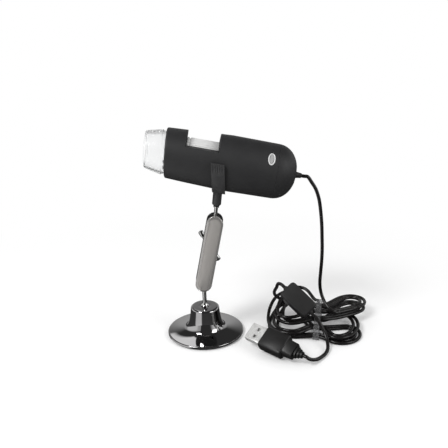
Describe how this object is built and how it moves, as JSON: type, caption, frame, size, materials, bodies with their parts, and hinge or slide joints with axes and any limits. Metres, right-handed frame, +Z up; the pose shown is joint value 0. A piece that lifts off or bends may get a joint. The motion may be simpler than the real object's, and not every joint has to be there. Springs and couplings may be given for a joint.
{
  "type": "USB digital microscope on a stand",
  "caption": "Handheld digital microscope held by a C-shaped cradle on a ball-jointed clamp arm over a round weighted base, with a tied hank of cord, in-line dimmer and USB plug.",
  "frame": {"origin": "centre of the base's underside, on the table", "axes": "+Z up along the base's axis, -X where the microscope's nose points, -Y toward the side with the front arm plate"},
  "size_m": [0.1497, 0.0856, 0.1429],
  "materials": {
    "black_chrome": "dark polished",
    "rubber": "matt",
    "steel": "bright plated",
    "satin_grey": "satin",
    "gloss_black": "gloss",
    "matte_black": "fine matt",
    "light_grey": "satin",
    "brass": "machined",
    "clear": "clear plastic",
    "lens_glass": "polished",
    "board": "lacquered board",
    "chip": "moulded",
    "cord_black": "satin vinyl",
    "pale_tie": "satin",
    "nickel": "plated"
  },
  "bodies": {
    "stand": {"base_shell": "black_chrome", "base_foot_pad": "rubber", "base_weight": "steel", "stud_nut": "steel", "cord_hank": "cord_black", "cord_drop": "cord_black", "cord_link": "cord_black", "cord_lead": "cord_black", "hank_tie": "pale_tie", "box_lid": "matte_black", "box_base": "matte_black", "box_upper_relief": "cord_black", "box_lower_relief": "cord_black", "plug_grip": "cord_black", "plug_shell": "nickel", "plug_tongue": "light_grey"},
    "lower_stud": {"lower_ball_stud": "steel"},
    "arm": {"arm_front_plate": "satin_grey", "arm_rear_plate": "gloss_black", "clamp_bolt": "steel", "clamp_spring": "steel", "clamp_washer": "steel"},
    "clamp_handle": {"clamp_hub": "matte_black", "clamp_bar": "steel"},
    "upper_stud": {"upper_ball_stud": "steel"},
    "holder": {"cradle": "matte_black", "neck_insert": "brass"},
    "microscope": {"housing_sleeve": "matte_black", "tail_cap": "matte_black", "cable_grommet": "cord_black", "nose_cap": "clear", "lamp_board": "board", "lamp_1": "clear", "lamp_2": "clear", "lamp_3": "clear", "lamp_4": "clear", "lamp_5": "clear", "lamp_6": "clear", "lamp_7": "clear", "lamp_8": "clear", "dial_retainer": "matte_black", "optics_tube": "matte_black", "infrared_filter": "lens_glass", "image_sensor": "chip", "sensor_board": "board", "main_board": "board", "controller_chip": "chip", "button_bezel": "satin_grey", "push_switch": "chip"},
    "dial": {"focus_dial": "light_grey"},
    "lens": {"lens_carriage": "matte_black", "objective_lens": "lens_glass", "lens_retaining_ring": "matte_black"},
    "button": {"snap_button": "light_grey"},
    "thumbwheel": {"dimmer_wheel": "light_grey"}
  },
  "joints": [
    {"name": "stand_swivel", "type": "hinge", "parent": "stand", "child": "lower_stud", "pos_m": [0, 0, 0], "axis": [0, 0, 1], "range_deg": [-75, 75], "deforming": ["cord_drop"]},
    {"name": "arm_tilt", "type": "hinge", "parent": "lower_stud", "child": "arm", "pos_m": [0, 0, 0.0382], "axis": [0, 1, 0], "range_deg": [-45, 30], "deforming": ["cord_drop"]},
    {"name": "clamp_turn", "type": "hinge", "parent": "arm", "child": "clamp_handle", "pos_m": [0.00435, 0, 0.0591], "axis": [0, 1, 0], "range_deg": [-30, 330]},
    {"name": "head_tilt", "type": "hinge", "parent": "arm", "child": "upper_stud", "pos_m": [0.0087, 0, 0.08001], "axis": [0, 1, 0], "range_deg": [-45, 30], "deforming": ["cord_drop"]},
    {"name": "head_swivel", "type": "hinge", "parent": "upper_stud", "child": "holder", "pos_m": [0.0087, 0, 0.08001], "axis": [0.1219, 0, 0.9925], "range_deg": [-45, 45], "deforming": ["cord_drop"]},
    {"name": "microscope_roll", "type": "hinge", "parent": "holder", "child": "microscope", "pos_m": [0.01187, 0, 0.12062], "axis": [0.9796, 0, -0.2011], "range_deg": [-40, 40], "deforming": ["cord_drop"]},
    {"name": "focus_turn", "type": "hinge", "parent": "microscope", "child": "dial", "pos_m": [0.01187, 0, 0.12062], "axis": [0.9796, 0, -0.2011], "range_deg": [-170, 170]},
    {"name": "lens_slide", "type": "slide", "parent": "microscope", "child": "lens", "axis": [0.9796, 0, -0.2011], "range_m": [-0.004, 0.004]},
    {"name": "button_press", "type": "slide", "parent": "microscope", "child": "button", "axis": [-0.1182, 0.809, -0.5758], "range_m": [0, 0.0005], "stiffness_N_per_m": 600, "springref_m": -0.0005},
    {"name": "dimmer_turn", "type": "hinge", "parent": "stand", "child": "thumbwheel", "pos_m": [0.05794, -0.00539, 0.02616], "axis": [-0.0399, -0.7818, 0.6223], "range_deg": [-135, 135]}
  ],
  "couplings": [
    {"joint": "lens_slide", "follows": "focus_turn", "m_per_rad": 0.00134}
  ]
}
